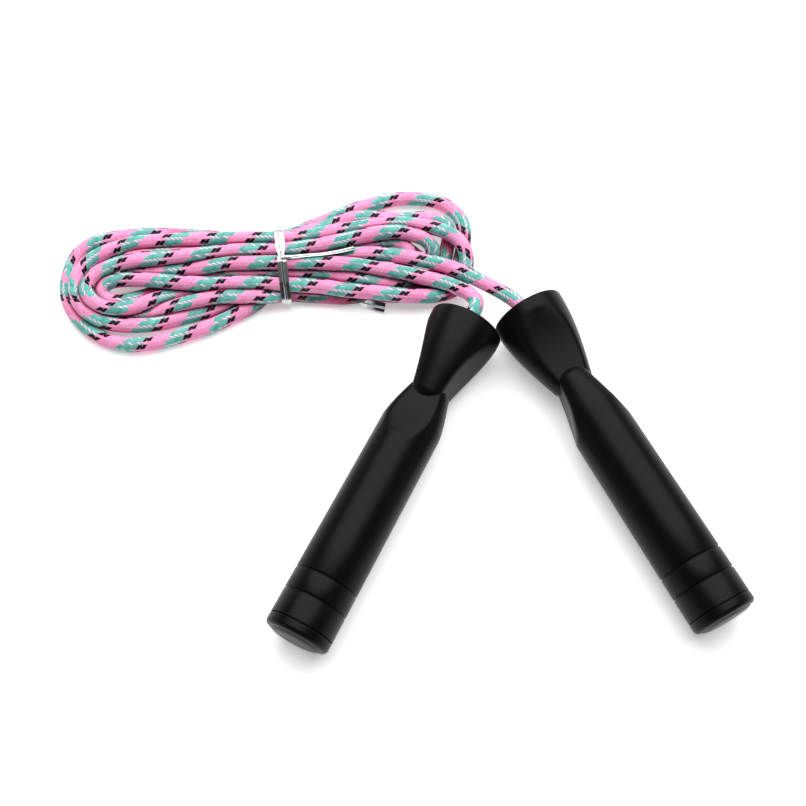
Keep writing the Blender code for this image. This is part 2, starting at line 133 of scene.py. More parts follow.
# The rope's route in millimetres, from the right handle to the left one. Each loop is
# followed by the place where the rope next passes through the tie. The strands that show
# were read from the photograph, and the hidden ones are guessed.
ROUTE = (
    (((8, 80, 16.8), (2.6, 85.3, 14.8), (-4.4, 90.8, 13), (-11.4, 95.3, 12.2), (-18, 98.9, 12.2),
      (-25, 101.9, 12.4), (-34.5, 104.5, 12.6), (-44, 106.5, 12.8), (-53.5, 107.8, 12.9),
      (-63, 108.2, 12.6), (-72.5, 108, 11.8), (-84.5, 107.3, 10.8)), "m3"),
    (((-114, 105.8, 8.4), (-128, 105, 6), (-145, 104.5, 3.9), (-162, 104, 3.7),
      (-175, 103.5, 3.7), (-181, 106, 3.7), (-177, 109.8, 3.7), (-163, 110.8, 3.7),
      (-145, 111.5, 3.7), (-125, 113, 3.7), (-112, 114.2, 3.8)), "b5"),
    (((-88, 115.6, 3.7), (-70, 118, 3.7), (-56, 119, 3.7), (-46, 116, 3.7), (-38, 110, 3.7),
      (-33, 108.5, 4.5), (-29.6, 111.2, 7.4), (-33.6, 116.2, 10.8),
      (-40.5, 118.4, 12.7), (-47.5, 119, 13.6), (-56, 118.4, 14), (-65.5, 116.5, 14.2), (-75, 114, 14.4),
      (-84.5, 111.6, 14.8)), "t2"),
    (((-108, 108.6, 15.2), (-122, 108.5, 14.6), (-141, 106.6, 14.2), (-155, 105.4, 14),
      (-164.5, 104.4, 13.8), (-174, 103, 13.6), (-183.5, 100, 13.2), (-190, 95.8, 12.8),
      (-193.2, 90.3, 12.2), (-191.5, 84.6, 11.6), (-185.5, 80.6, 10.8), (-177.5, 80, 9.8),
      (-168.5, 82, 8.4), (-159.5, 86.6, 6.6), (-151, 90.3, 5), (-140, 94, 4),
      (-126, 99.5, 3.8), (-112, 106.2, 3.8)), "b4"),
    (((-92, 109.4, 3.7), (-84, 109.6, 3.7), (-77, 108.6, 3.7), (-73, 105.4, 3.7),
      (-77, 102, 3.7), (-84, 101.8, 3.7), (-92, 102.8, 3.7)), "b3"),
    (((-110, 97.5, 3.8), (-118, 91, 3.8), (-129.5, 85.6, 4), (-138.5, 82.4, 4.2),
      (-150, 79.4, 4.4), (-159, 76.7, 4.8), (-168, 74.6, 5.4), (-177.5, 73.7, 6.2),
      (-185, 74.8, 7), (-191.6, 78, 7.8), (-196.6, 83, 8.4), (-199.6, 89.5, 9.2),
      (-199.2, 97, 10), (-195.3, 103.5, 10.8), (-189, 108.5, 11.4), (-180, 112, 11.8),
      (-170.5, 114, 12.2), (-156.5, 115.4, 12.6), (-142, 115.5, 13), (-122.5, 115.4, 13.4),
      (-109, 115.2, 14)), "t3"),
    (((-98.5, 114.3, 14.2), (-84.5, 118.5, 13.2), (-75, 121, 12.8), (-65.5, 122.7, 12.5),
      (-56, 124.4, 12.3), (-46.5, 125, 12.2), (-36.5, 124, 12.2), (-27, 121.6, 12.2),
      (-20.2, 117.8, 11.9), (-16, 112.6, 11.2), (-14.8, 106.4, 9.6), (-16.2, 100.6, 7),
      (-19.6, 96, 5), (-25.5, 92.8, 4.6), (-33, 89.6, 6.4), (-43.5, 88.2, 8.4),
      (-53.5, 88.6, 9.4), (-63, 89.4, 9.8), (-72, 90, 10.1), (-84, 91.8, 10.5)), "m1"),
    (((-107.5, 92, 10.7), (-121.5, 92, 10.8), (-133.5, 92, 11), (-145.5, 93, 11.2),
      (-157, 94, 11.4), (-169, 95, 11.4), (-178.5, 95, 11), (-185.8, 93.2, 10.2),
      (-188.6, 89.4, 8.8), (-185.4, 86, 7), (-177, 86.8, 5.2), (-167.5, 90, 4),
      (-156, 94.2, 3.8), (-142, 97.6, 5.4), (-130, 98.8, 7.4), (-114, 98.8, 8.8)), "m2"),
    (((-98.5, 99.2, 9.2), (-84.5, 99.8, 8.2), (-72.5, 98, 7.2), (-63, 96.5, 6.6),
      (-51, 95.2, 6), (-41.5, 95.6, 5.2), (-34, 98.4, 4.3), (-28.5, 102.5, 3.8),
      (-25.4, 109, 3.8), (-23.8, 116, 4), (-22.6, 122.5, 5), (-24, 127.6, 6),
      (-29.5, 130.8, 6.6), (-37, 131.3, 6.9), (-46.5, 130.4, 7.3), (-56, 131, 7.9),
      (-66, 131, 8.3), (-75.5, 128.5, 8.6), (-85, 124.2, 9)), "m5"),
    (((-112, 118.8, 9), (-128, 118, 7.6), (-145, 117.6, 6), (-162, 117, 5),
      (-176, 115, 4.4), (-186.5, 110.5, 4), (-193, 103, 3.8), (-194.2, 94.5, 3.8),
      (-190.5, 86.5, 3.7), (-183, 81, 3.7), (-174, 79, 3.8), (-165, 80, 4.4),
      (-157, 81.6, 5.6), (-147.5, 83.4, 6.8), (-140.5, 85, 7.1), (-131.5, 87, 7.1),
      (-122, 88.2, 6.6), (-110, 89.6, 5.4)), "b1"),
    (((-98.5, 92, 4), (-84.5, 91.8, 3.8), (-72.5, 91, 3.8), (-63, 91.8, 3.7),
      (-53.5, 92, 3.7), (-44, 91.6, 3.7), (-34.5, 92, 3.7), (-27, 93.6, 3.7),
      (-21.4, 97, 3.7), (-18.4, 103.6, 3.7), (-16.8, 111, 3.7), (-15.4, 118.6, 3.7),
      (-14.9, 125.6, 3.8), (-16.6, 132.6, 3.8), (-20.8, 138.2, 3.9), (-26.5, 142, 4),
      (-36.5, 144.3, 4), (-46.5, 144.2, 4.2), (-56, 142, 4.5), (-66, 138.6, 5),
      (-76, 134.2, 5), (-85.5, 129.6, 5), (-93, 126, 4.8)), "b6"),
    (((-107, 121.2, 4.5), (-124, 120.6, 4.6), (-143.5, 121, 5), (-158, 121.6, 5.4),
      (-172.5, 121.6, 6), (-184.5, 120.4, 6.4), (-193.8, 117.6, 6.6), (-200.5, 112, 6.4),
      (-204, 104.5, 5.4), (-205.2, 96, 4.4), (-203.8, 88, 4), (-199.4, 80.4, 4),
      (-193.6, 74, 4), (-187, 68.8, 3.9), (-179, 65.4, 3.7), (-170.5, 64.4, 3.7),
      (-161, 65.4, 3.7), (-149.5, 69, 3.7), (-138, 73, 3.7), (-126.5, 78.8, 3.7),
      (-117.5, 84, 3.7), (-109, 90.5, 3.7)), "b2"),
    (((-92, 95.8, 3.7), (-82, 95.4, 3.7), (-70, 95.2, 3.7), (-60, 97.6, 3.7),
      (-48, 104, 3.9), (-40.5, 110.6, 4.6), (-43.5, 116.4, 5.6), (-54, 118.2, 6.6),
      (-65, 116, 7.4), (-76, 113.5, 8.2), (-88, 112.8, 9.2)), "m4"),
    (((-112, 112.4, 9.3), (-128, 111.6, 9.2), (-148, 110.2, 8.8), (-163, 109.6, 8.4),
      (-174, 108.8, 8), (-179, 105.5, 7.6), (-176, 101.8, 7.6), (-168, 100.6, 8),
      (-158, 100.4, 9), (-146, 100.8, 10.4), (-134, 101, 12), (-122, 101.5, 13.2),
      (-109, 101.7, 14.6)), "t1"),
    (((-98, 102, 15.2), (-84, 102, 14.6), (-72.5, 101.5, 13.6), (-63, 100.5, 12.7),
      (-53.5, 99.4, 12.2), (-44, 97.6, 12), (-34.5, 95.4, 12), (-25, 92.7, 12),
      (-18, 89.4, 12.3), (-13.4, 86, 13.2), (-10.8, 81.2, 14.8), (-11.7, 75.6, 16.8)), None),
)

# Where the black stitches of a band face up, read from the photograph: a place in the tie,
# and how far past it along the rope, in millimetres
BLACK_STITCHES = (
    ("m3", -108), ("m3", -46),
    ("t2", -58), ("t2", 76),
    ("b4", -88), ("b4", -66),
    ("t3", -186), ("t3", -118), ("t3", -78), ("t3", 94),
    ("m1", -79), ("m1", 72),
    ("m2", -30), ("m2", 58),
    ("m5", -84), ("m5", -26),
    ("b1", -53), ("b1", 11),
    ("b6", -102), ("b6", -34), ("b6", 16), ("b6", 86), ("b6", 107),
    ("b2", -121), ("b2", -94), ("b2", -30),
    ("t1", -46), ("t1", 86),
)
# The black stitches lead the teal ones, except on the rope between these two places
BLACK_TRAILS = (("b5", -80), ("b6", 114))

# Twist tie
TIE_CENTRE = -102.3
TIE_SLOPE = -0.125
TIE_WIDTH = 4.7
TIE_THICKNESS = 0.3
TIE_CLEARANCE = 0.15
TIE_FLOOR = 0.05
TIE_POINTS = 160
# The loop narrows at the twist: where across the hank, how much, how far and above what height
TIE_PINCH = 104.0
TIE_PINCH_DEPTH = 0.4
TIE_PINCH_SPREAD = 1.6
TIE_PINCH_ABOVE = 8.0
# The ribbon's section, ridged over its wire: across, in half widths, and out, in thicknesses
RIBBON_PROFILE = (
    (-1.0, 0.0), (-0.92, 1.0), (-0.25, 1.0), (-0.16, 1.9), (0.0, 2.3), (0.16, 1.9), (0.25, 1.0),
    (0.92, 1.0), (1.0, 0.0),
)
# Loose ends: points of (x, y, z) in millimetres and lean in degrees
TIE_ENDS = {
    "tie_end_upper": (
        (-102.4, 103, 18.7, -30), (-98, 103.2, 18.6, -38), (-91, 104.2, 18.1, -42),
        (-83, 105.4, 17.3, -42), (-76, 107.2, 16.5, -38), (-68.4, 109.6, 15.9, -34),
    ),
    "tie_end_lower": (
        (-78, 92.6, 2.7, 80), (-72, 90.4, 2.7, 78), (-66, 88.2, 2.6, 68), (-60, 86.2, 2.6, 52),
        (-53.4, 84.2, 3.2, 38),
    ),
}

# Handle, measured up its axis from the flat of the end cap
HANDLE_LENGTH = 163.0 * MM
CAP_JOINT = 6.3 * MM
GRIP_RADIUS = 14.5 * MM
GRIP_RADIUS_FRONT = 14.0 * MM
GROOVES = (18.0 * MM, 28.0 * MM)
GROOVE_DEPTH = 0.6 * MM
GROOVE_HALF_WIDTH = 0.7 * MM
WAIST = 123.5 * MM
WAIST_RADIUS = 10.0 * MM
WAIST_HALF_THICKNESS = 7.4 * MM
TONGUE = 5.0 * MM
GRIP_SHOULDER = 24.0 * MM
MOUTH_RADIUS = 17.3 * MM
MOUTH_ROUND = 1.2 * MM
GRIP_FACET_LENGTH = 28.0 * MM
HEAD_FACET_LENGTH = 34.0 * MM
SHELL_SEGMENTS = 128
EDGE_BLEND = 1.6 * MM
GRIP_RINGS = (45.0 * MM, 62.0 * MM, 80.0 * MM)
GRIP_STEPS = 26
HEAD_STEPS = 30
TONGUE_STEPS = 8
TONGUE_END = 0.995
FLAT_MOST = 0.9999

# Hollows in the shell
GRIP_BORE = 11.2 * MM
GRIP_BORE_END = 92.0 * MM
CORE_HOLE = 3.0 * MM
CORE_HOLE_START = 110.0 * MM
POCKET_RADIUS = 6.0 * MM
POCKET_DEPTH = 27.0 * MM
SHOULDER_RADIUS = 9.2 * MM
SHOULDER_DEPTH = 14.0 * MM
SEAT_RADIUS = 11.3 * MM
SEAT_DEPTH = 12.3 * MM
RING_BORE = 13.2 * MM
RING_DEPTH = 4.7 * MM
RING_THICKNESS = 3.0 * MM
MOUTH_BORE = 14.0 * MM

# Cap
CAP_ROUND = 2.2 * MM
CAP_FLAT_RADIUS = 8.0 * MM
CAP_DOME = 1.2 * MM
CAP_CAVITY = 3.0 * MM
PLUG_LENGTH = 12.0 * MM
PLUG_WALL = 1.8 * MM

# Where each handle lies
HANDLES = {
    "left": {"mouth": (-15.5 * MM, 67.8 * MM), "heading": 62.8, "roll": 100.0},
    "right": {"mouth": (12.2 * MM, 74.5 * MM), "heading": 118.6, "roll": 5.0},
}


# ---------------------------------------------------------------- helpers

def link(obj):
    bpy.context.scene.collection.objects.link(obj)
    return obj


def mesh_object(name, verts, faces, mat, smooth=True):
    mesh = bpy.data.meshes.new(name)
    mesh.from_pydata(verts, [], faces)
    mesh.polygons.foreach_set("use_smooth", [smooth] * len(mesh.polygons))
    mesh.materials.append(mat)
    mesh.update()
    return link(bpy.data.objects.new(name, mesh))


class Nodes:
    """Short ways to add and join the nodes of one material."""

    def __init__(self, name):
        self.mat = bpy.data.materials.new(name)
        self.mat.use_nodes = True
        self.tree = self.mat.node_tree
        self.shader = self.tree.nodes["Principled BSDF"]

    def add(self, kind, inputs=(), **settings):
        node = self.tree.nodes.new(kind)
        for key, value in settings.items():
            setattr(node, key, value)
        for key, value in dict(inputs).items():
            self.put(node, key, value)
        return node

    def put(self, node, key, value):
        if isinstance(value, bpy.types.NodeSocket):
            self.tree.links.new(value, node.inputs[key])
        else:
            node.inputs[key].default_value = value

    def math(self, operation, first, second=0.0, third=0.0):
        node = self.add("ShaderNodeMath", {0: first, 1: second, 2: third}, operation=operation)
        return node.outputs[0]

    def mix(self, factor, first, second, blend="MIX"):
        node = self.add("ShaderNodeMix", data_type="RGBA", blend_type=blend)
        self.put(node, 0, factor)
        self.put(node, 6, first)
        self.put(node, 7, second)
        return node.outputs[2]

    def noise(self, scale, detail=3.0, roughness=0.5, vector=None):
        node = self.add("ShaderNodeTexNoise", {"Scale": scale, "Detail": detail, "Roughness": roughness})
        if vector is None:
            vector = self.add("ShaderNodeTexCoord").outputs["Object"]
        self.put(node, "Vector", vector)
        return node.outputs["Fac"]

    def spread(self, value, low, high):
        node = self.add("ShaderNodeMapRange", {"Value": value, "To Min": low, "To Max": high})
        return node.outputs[0]

    def bump(self, height, strength, distance, after=None):
        node = self.add("ShaderNodeBump", {"Height": height, "Strength": strength, "Distance": distance})
        if after is not None:
            self.put(node, "Normal", after)
        return node.outputs[0]

    def set(self, **values):
        for key, value in values.items():
            self.put(self.shader, key.replace("_", " "), value)
        return self.mat


# ---------------------------------------------------------------- camera, floor, light

def make_camera():
    data = bpy.data.cameras.new("camera")
    data.lens = CAMERA_LENS
    camera = link(bpy.data.objects.new("camera", data))
    lift = math.radians(CAMERA_ELEVATION)
    back = Vector((0.0, -math.cos(lift), math.sin(lift)))
    camera.location = Vector(CAMERA_TARGET) + back * CAMERA_DISTANCE
    camera.rotation_euler = (math.radians(90.0) - lift, 0.0, 0.0)
    data.clip_start = 0.01
    bpy.context.scene.camera = camera
    return camera


def make_floor():
    """A pale table top with a painted glow: it gives off light, more further out, which lifts the shadows
    on it.
    """
    nodes = Nodes("pale_floor")
    cloud = nodes.noise(6.0)
    tint = nodes.mix(cloud, (0.94, 0.94, 0.945, 1.0), (0.965, 0.965, 0.965, 1.0))
    place = nodes.add("ShaderNodeTexCoord").outputs["Object"]
    distance = nodes.add("ShaderNodeVectorMath", {0: place}, operation="LENGTH").outputs["Value"]
    glow = nodes.add("ShaderNodeMapRange", {
        "Value": distance, "From Min": FLOOR_NEAR, "From Max": FLOOR_FAR,
        "To Min": FLOOR_GLOW[0], "To Max": FLOOR_GLOW[1],
    }).outputs[0]
    mat = nodes.set(Base_Color=tint, Roughness=0.7, Emission_Color=tint, Emission_Strength=glow)
    reach = FLOOR_REACH
    corners = [(-reach, -reach, 0.0), (reach, -reach, 0.0), (reach, reach, 0.0), (-reach, reach, 0.0)]
    floor = mesh_object("floor", corners, [(0, 1, 2, 3)], mat, smooth=False)


def make_light(name, place, aim, size, power):
    data = bpy.data.lights.new(name, "AREA")
    data.shape = "DISK"
    data.size = size
    data.energy = power
    lamp = link(bpy.data.objects.new(name, data))
    lamp.location = place
    lamp.rotation_euler = (Vector(aim) - Vector(place)).to_track_quat("-Z", "Y").to_euler()


def sky_ramp(tree, value, band, low, high):
    """Brightness that runs softly from low to high as the value crosses the band."""
    ramp = tree.nodes.new("ShaderNodeMapRange")
    ramp.interpolation_type = "SMOOTHSTEP"
    ramp.inputs["From Min"].default_value = band[0]
    ramp.inputs["From Max"].default_value = band[1]
    ramp.inputs["To Min"].default_value = low
    ramp.inputs["To Max"].default_value = high
    tree.links.new(value, ramp.inputs["Value"])
    return ramp.outputs[0]


def make_world():
    """A studio that is bright overhead and behind, with pale walls low down and a dark front."""
    world = bpy.data.worlds.new("studio")
    bpy.context.scene.world = world
    world.use_nodes = True
    tree = world.node_tree
    direction = tree.nodes.new("ShaderNodeTexCoord").outputs["Generated"]
    facing = tree.nodes.new("ShaderNodeVectorMath")
    facing.operation = "DOT_PRODUCT"
    facing.inputs[1].default_value = BRIGHT_SKY
    tree.links.new(direction, facing.inputs[0])
    split = tree.nodes.new("ShaderNodeSeparateXYZ")
    tree.links.new(direction, split.inputs[0])
    brighter = tree.nodes.new("ShaderNodeMath")
    brighter.operation = "MAXIMUM"
    overhead = sky_ramp(tree, facing.outputs["Value"], SKY_BAND, SKY_DARK, SKY_BRIGHT)
    horizon = sky_ramp(tree, split.outputs["Z"], HORIZON_BAND, HORIZON_BRIGHT, SKY_DARK)
    tree.links.new(overhead, brighter.inputs[0])
    tree.links.new(horizon, brighter.inputs[1])
    background = tree.nodes["Background"]
    background.inputs["Color"].default_value = (1.0, 1.0, 1.0, 1.0)
    tree.links.new(brighter.outputs[0], background.inputs["Strength"])


def make_lights():
    make_world()
    make_light("key", KEY_PLACE, KEY_AIM, KEY_SIZE, KEY_POWER)
    bpy.context.scene.view_settings.view_transform = "Standard"


# ---------------------------------------------------------------- rope

def smooth_line(points, steps):
    """A centripetal Catmull-Rom curve through the points."""
    points = np.asarray(points, float)
    knots = np.vstack([2 * points[0] - points[1], points, 2 * points[-1] - points[-2]])
    out = []
    for i in range(1, len(knots) - 2):
        p0, p1, p2, p3 = knots[i - 1:i + 3]
        t0 = 0.0
        t1 = t0 + math.sqrt(np.linalg.norm(p1 - p0))
        t2 = t1 + math.sqrt(np.linalg.norm(p2 - p1))
        t3 = t2 + math.sqrt(np.linalg.norm(p3 - p2))
        for t in np.linspace(t1, t2, steps, endpoint=False):
            a1 = (t1 - t) / (t1 - t0) * p0 + (t - t0) / (t1 - t0) * p1
            a2 = (t2 - t) / (t2 - t1) * p1 + (t - t1) / (t2 - t1) * p2
            a3 = (t3 - t) / (t3 - t2) * p2 + (t - t2) / (t3 - t2) * p3
            b1 = (t2 - t) / (t2 - t0) * a1 + (t - t0) / (t2 - t0) * a2
            b2 = (t3 - t) / (t3 - t1) * a2 + (t - t1) / (t3 - t1) * a3
            out.append((t2 - t) / (t2 - t1) * b1 + (t - t1) / (t2 - t1) * b2)
    out.append(points[-1])
    return np.array(out)


def even_line(line, step):
    """The same line with its points at equal distances, as near to the step as fits."""
    along = distance_along(line)
    wanted = np.linspace(0.0, along[-1], int(round(along[-1] / step)) + 1)
    return np.stack([np.interp(wanted, along, line[:, k]) for k in range(3)], axis=1)


def close_pairs(line):
    """Pairs of points that are near each other but far apart along the rope."""
    squared = ((line[:, None, :] - line[None, :, :]) ** 2).sum(axis=2)
    first, second = np.nonzero(squared < (SETTLE_GAP + SETTLE_LOOK) ** 2)
    keep = (second - first) * SETTLE_STEP > SETTLE_APART
    return first[keep], second[keep]


def settle(line):
    """Pushes strands that share space apart, up off the floor, and keeps them near their route."""
    home = line.copy()
    line = line.copy()
    count = len(line)
    held = np.zeros(count, bool)
    held[:SETTLE_ENDS] = True
    held[-SETTLE_ENDS:] = True
    blur = np.array([1.0, 4.0, 6.0, 4.0, 1.0]) / 16.0
    for turn in range(SETTLE_ROUNDS):
        if turn % SETTLE_REFRESH == 0:
            first, second = close_pairs(line)
        apart = line[first] - line[second]
        length = np.linalg.norm(apart, axis=1) + 1e-9
        overlap = np.clip(SETTLE_GAP - length, 0.0, None)
        push = apart / length[:, None] * overlap[:, None] * 0.5
        move = np.zeros_like(line)
        touching = np.zeros(count)
        np.add.at(move, first, push)
        np.add.at(move, second, -push)
        np.add.at(touching, first, overlap > 0)
        np.add.at(touching, second, overlap > 0)
        move /= np.maximum(touching ** 0.7, 1.0)[:, None]
        move += SETTLE_HOLD * (home - line)
        move[held] = 0.0
        shift = line + move - home
        for axis in range(3):
            shift[:, axis] = np.convolve(np.pad(shift[:, axis], 2, mode="edge"), blur, mode="valid")
        shift[held] = 0.0
        line = home + shift
        line[:, 2] = np.maximum(line[:, 2], SETTLE_FLOOR)
    return line


def ease(line):
    """Opens out the folds that came out of the settling too sharp."""
    line = line.copy()
    for _ in range(EASE_ROUNDS):
        sag = np.linalg.norm(line[2:-2] - (line[:-4] + line[4:]) / 2, axis=1)
        share = np.clip(sag / EASE_SAG - 1.0, 0.0, 1.0)
        share = np.maximum(share, np.maximum(np.roll(share, 1), np.roll(share, -1)))
        middle = (line[1:-3] + line[3:-1]) / 2
        line[2:-2] += share[:, None] * (middle - line[2:-2])
    return line


def handle_frame(side):
    """Lays a handle down on its cap and its mouth. Returns its matrix, its mouth and its axis."""
    place = HANDLES[side]
    heading = math.radians(place["heading"])
    lean = math.asin((MOUTH_RADIUS - GRIP_RADIUS) / (HANDLE_LENGTH - CAP_ROUND))
    axis = Vector((
        math.cos(heading) * math.cos(lean), math.sin(heading) * math.cos(lean), math.sin(lean),
    ))
    side_way = Vector((math.sin(heading), -math.cos(heading), 0.0))
    up_way = side_way.cross(axis)
    mouth = Vector((*place["mouth"], MOUTH_RADIUS * math.cos(lean)))
    turn = Matrix((side_way, up_way, axis)).transposed().to_4x4()
    matrix = Matrix.Translation(mouth - axis * HANDLE_LENGTH) @ turn
    return matrix @ Matrix.Rotation(math.radians(place["roll"]), 4, "Z"), mouth, axis


def route_points():
    points = []
    for loop, place in ROUTE:
        points += list(loop)
        if place is not None:
            points.append((TIE_X, *PLACES[place]))
    return np.array(points, float)


def inside_handle(side):
    """The stretch of rope from the mouth to the ferrule behind the bearing, in millimetres."""
    _, mouth, axis = handle_frame(side)
    depths = (0.0, 8.0, 17.0, ROPE_END_DEPTH / MM)
    return np.array([(mouth / MM - axis * depth) for depth in depths])


def rope_line():
    route = even_line(smooth_line(route_points(), 10), SETTLE_STEP)
    settled = ease(settle(route))
    whole = np.vstack([inside_handle("right")[::-1], settled[1:-1], inside_handle("left")])
    return even_line(smooth_line(whole, 5), RING_SPACING / MM)


def level_frames(line):
    """A direction across the rope that stays level, and one that points down, at each point."""
    tangents = np.gradient(line, axis=0)
    tangents /= np.linalg.norm(tangents, axis=1)[:, None]
    across = np.cross(tangents, (0.0, 0.0, 1.0))
    across /= np.linalg.norm(across, axis=1)[:, None]
    return across, np.cross(tangents, across)


def distance_along(line):
    return np.concatenate([[0.0], np.cumsum(np.linalg.norm(np.diff(line, axis=0), axis=1))])


def tie_crossings(line, along):
    """How far along the rope each place in the tie is."""
    found = {}
    start = 0
    for _, place in ROUTE[:-1]:
        spot = np.array((TIE_X, *PLACES[place]))
        stop = start + 20 + int(np.argmax(np.linalg.norm(line[start + 20:] - spot, axis=1) < 4.0))
        near = slice(stop, stop + 8)
        start = stop + int(np.argmin(np.linalg.norm(line[near] - spot, axis=1)))
        found[place] = along[start]
    return found


def band_turns(line, along):
    """How many bands have passed at each point, and where the black changes ends."""
    crossings = tie_crossings(line, along)
    first, last = [crossings[place] + past for place, past in BLACK_TRAILS]
    marks = np.array([crossings[place] + past for place, past in BLACK_STITCHES])
    trailing = (marks > first) & (marks < last)
    wanted = np.where(trailing, 0.9, 0.1)
    turns = [wanted[0]]
    for k in range(1, len(marks)):
        about = turns[-1] + (marks[k] - marks[k - 1]) / STRIPE_PITCH
        turns.append(round(about - wanted[k]) + wanted[k])
    slope = 1.0 / STRIPE_PITCH
    marks = np.concatenate([[0.0], marks, [along[-1]]])
    turns = [turns[0] - marks[1] * slope, *turns, turns[-1] + (marks[-1] - marks[-2]) * slope]
    at_change = np.floor(np.interp((first, last), marks, turns)) + 0.5
    return np.interp(along, marks, turns) - ROPE_TOP, at_change


def painted_crease_shade(verts, line, along):
    """Painted shade for the rope: 0 where a vertex touches or lies under another strand, 1 where it is
    clear of all of them.
    """
    radius = ROPE_DIAMETER / MM / 2
    coarse = line[::2]
    coarse_along = along[::2]
    out = np.ones(len(verts))
    cover = np.ones(len(verts))
    for start in range(0, len(verts), ROPE_SIDES * 40):
        block = verts[start:start + ROPE_SIDES * 40]
        own = along[(start + np.arange(len(block))) // ROPE_SIDES]
        gap = np.sqrt(((block[:, None, :] - coarse[None]) ** 2).sum(axis=2))
        same_strand = np.abs(own[:, None] - coarse_along[None]) < SETTLE_APART
        gap[same_strand] = 99.0
        out[start:start + len(block)] = gap.min(axis=1) / radius
        beside = np.hypot(block[:, 0, None] - coarse[None, :, 0], block[:, 1, None] - coarse[None, :, 1])
        rise = coarse[None, :, 2] - block[:, 2, None]
        beside[same_strand | (rise < COVER_RISE)] = 99.0
        cover[start:start + len(block)] = beside.min(axis=1)
    painted_shade = np.clip((out - PAINTED_CREASE_NEAR) / (PAINTED_CREASE_FAR - PAINTED_CREASE_NEAR), 0.0, 1.0)
    cover = np.clip((cover - COVER_NEAR) / (COVER_FAR - COVER_NEAR), 0.0, 1.0)
    return painted_shade * (1.0 - COVER_DEPTH * (1.0 - cover))


def make_rope(line, mat):
    across, down = level_frames(line)
    along = distance_along(line)
    rings = len(line)
    angles = 2 * np.pi * np.arange(ROPE_SIDES) / ROPE_SIDES
    cosines = np.cos(angles)[None, :, None]
    sines = np.sin(angles)[None, :, None]
    ring = cosines * across[:, None, :] + sines * down[:, None, :]
    verts = (line[:, None, :] + ring * ROPE_DIAMETER / MM / 2).reshape(-1, 3)
    i, j = np.meshgrid(np.arange(rings - 1), np.arange(ROPE_SIDES), indexing="ij")
    k = (j + 1) % ROPE_SIDES
    quads = np.stack([
        i * ROPE_SIDES + j, i * ROPE_SIDES + k, (i + 1) * ROPE_SIDES + k, (i + 1) * ROPE_SIDES + j,
    ], axis=-1).reshape(-1, 4)
    faces = quads.tolist()
    faces.append(list(range(ROPE_SIDES))[::-1])
    faces.append(list(range((rings - 1) * ROPE_SIDES, rings * ROPE_SIDES)))
    rope = mesh_object("braided_rope", (verts * MM).tolist(), faces, mat)

    turns, at_change = band_turns(line, along)
    column = np.floor((j + 0.5) / ROPE_SIDES * BRAID_COLUMNS)
    winding = turns[i] + (column + 0.5) / BRAID_COLUMNS
    side = np.where((winding > at_change[0]) & (winding < at_change[1]), 1.0, -1.0)
    corner_u = np.stack([j, j + 1, j + 1, j], axis=-1).reshape(-1) / ROPE_SIDES
    corner_i = np.stack([i, i, i + 1, i + 1], axis=-1).reshape(-1)
    spare = np.zeros((2 * ROPE_SIDES, 2))
    stitch = rope.data.uv_layers.new(name="stitch")
    stitch.data.foreach_set("uv", np.vstack([np.column_stack([corner_u, turns[corner_i]]), spare]).ravel())
    other = rope.data.uv_layers.new(name="side")
    corner_side = np.repeat(side.reshape(-1), 4)
    other.data.foreach_set("uv", np.vstack([np.column_stack([corner_side, corner_side]), spare]).ravel())
    # Painted shade where strands touch or lie under others, kept on the points for the material
    painted_shade = rope.data.attributes.new("painted_shade", "FLOAT", "POINT")
    painted_shade.data.foreach_set("value", painted_crease_shade(verts, line, along))
    return rope


def stitch_layout(nodes):
    """Which column, band and stitch a point of the sheath is in, and where it lies in the stitch."""
    stitch_map = nodes.add("ShaderNodeUVMap", uv_map="stitch")
    side_map = nodes.add("ShaderNodeUVMap", uv_map="side")
    split = nodes.add("ShaderNodeSeparateXYZ", {0: stitch_map.outputs[0]})
    around, turns = split.outputs[0], split.outputs[1]
    side = nodes.add("ShaderNodeSeparateXYZ", {0: side_map.outputs[0]}).outputs[0]

    pairs = nodes.math("MULTIPLY", around, BRAID_COLUMNS / 2)
    place = nodes.math("FRACT", pairs)
    plain = nodes.math("GREATER_THAN", place, WOVEN_SHARE)
    column = nodes.math("MULTIPLY_ADD", nodes.math("FLOOR", pairs), 2.0, plain)
    centre = nodes.math("MULTIPLY_ADD", plain, 0.5, WOVEN_SHARE / 2)
    width = nodes.math("MULTIPLY_ADD", plain, 1.0 - 2.0 * WOVEN_SHARE, WOVEN_SHARE)
    across = nodes.math("DIVIDE", nodes.math("SUBTRACT", place, centre), width)
    lean = nodes.math("MULTIPLY_ADD", plain, -2.0 * STITCH_LEAN, STITCH_LEAN)

    column_turn = nodes.math("DIVIDE", nodes.math("ADD", column, 0.5), BRAID_COLUMNS)
    winding = nodes.math("MULTIPLY", nodes.math("ADD", turns, column_turn), side)
    stitches = nodes.math("MULTIPLY", nodes.math("FRACT", winding), STITCHES_PER_BAND)
    slant = nodes.math("MULTIPLY", nodes.math("MULTIPLY", across, lean), side)
    slanted = nodes.math("ADD", stitches, slant)
    slanted = nodes.math("ADD", slanted, nodes.math("MULTIPLY", plain, 0.5))
    slanted = nodes.math("MODULO", nodes.math("ADD", slanted, STITCHES_PER_BAND), STITCHES_PER_BAND)
    return SimpleNamespace(
        side=side, plain=plain, column=column, across=across, winding=winding, stitches=stitches,
        number=nodes.math("FLOOR", slanted), within=nodes.math("FRACT", slanted),
    )


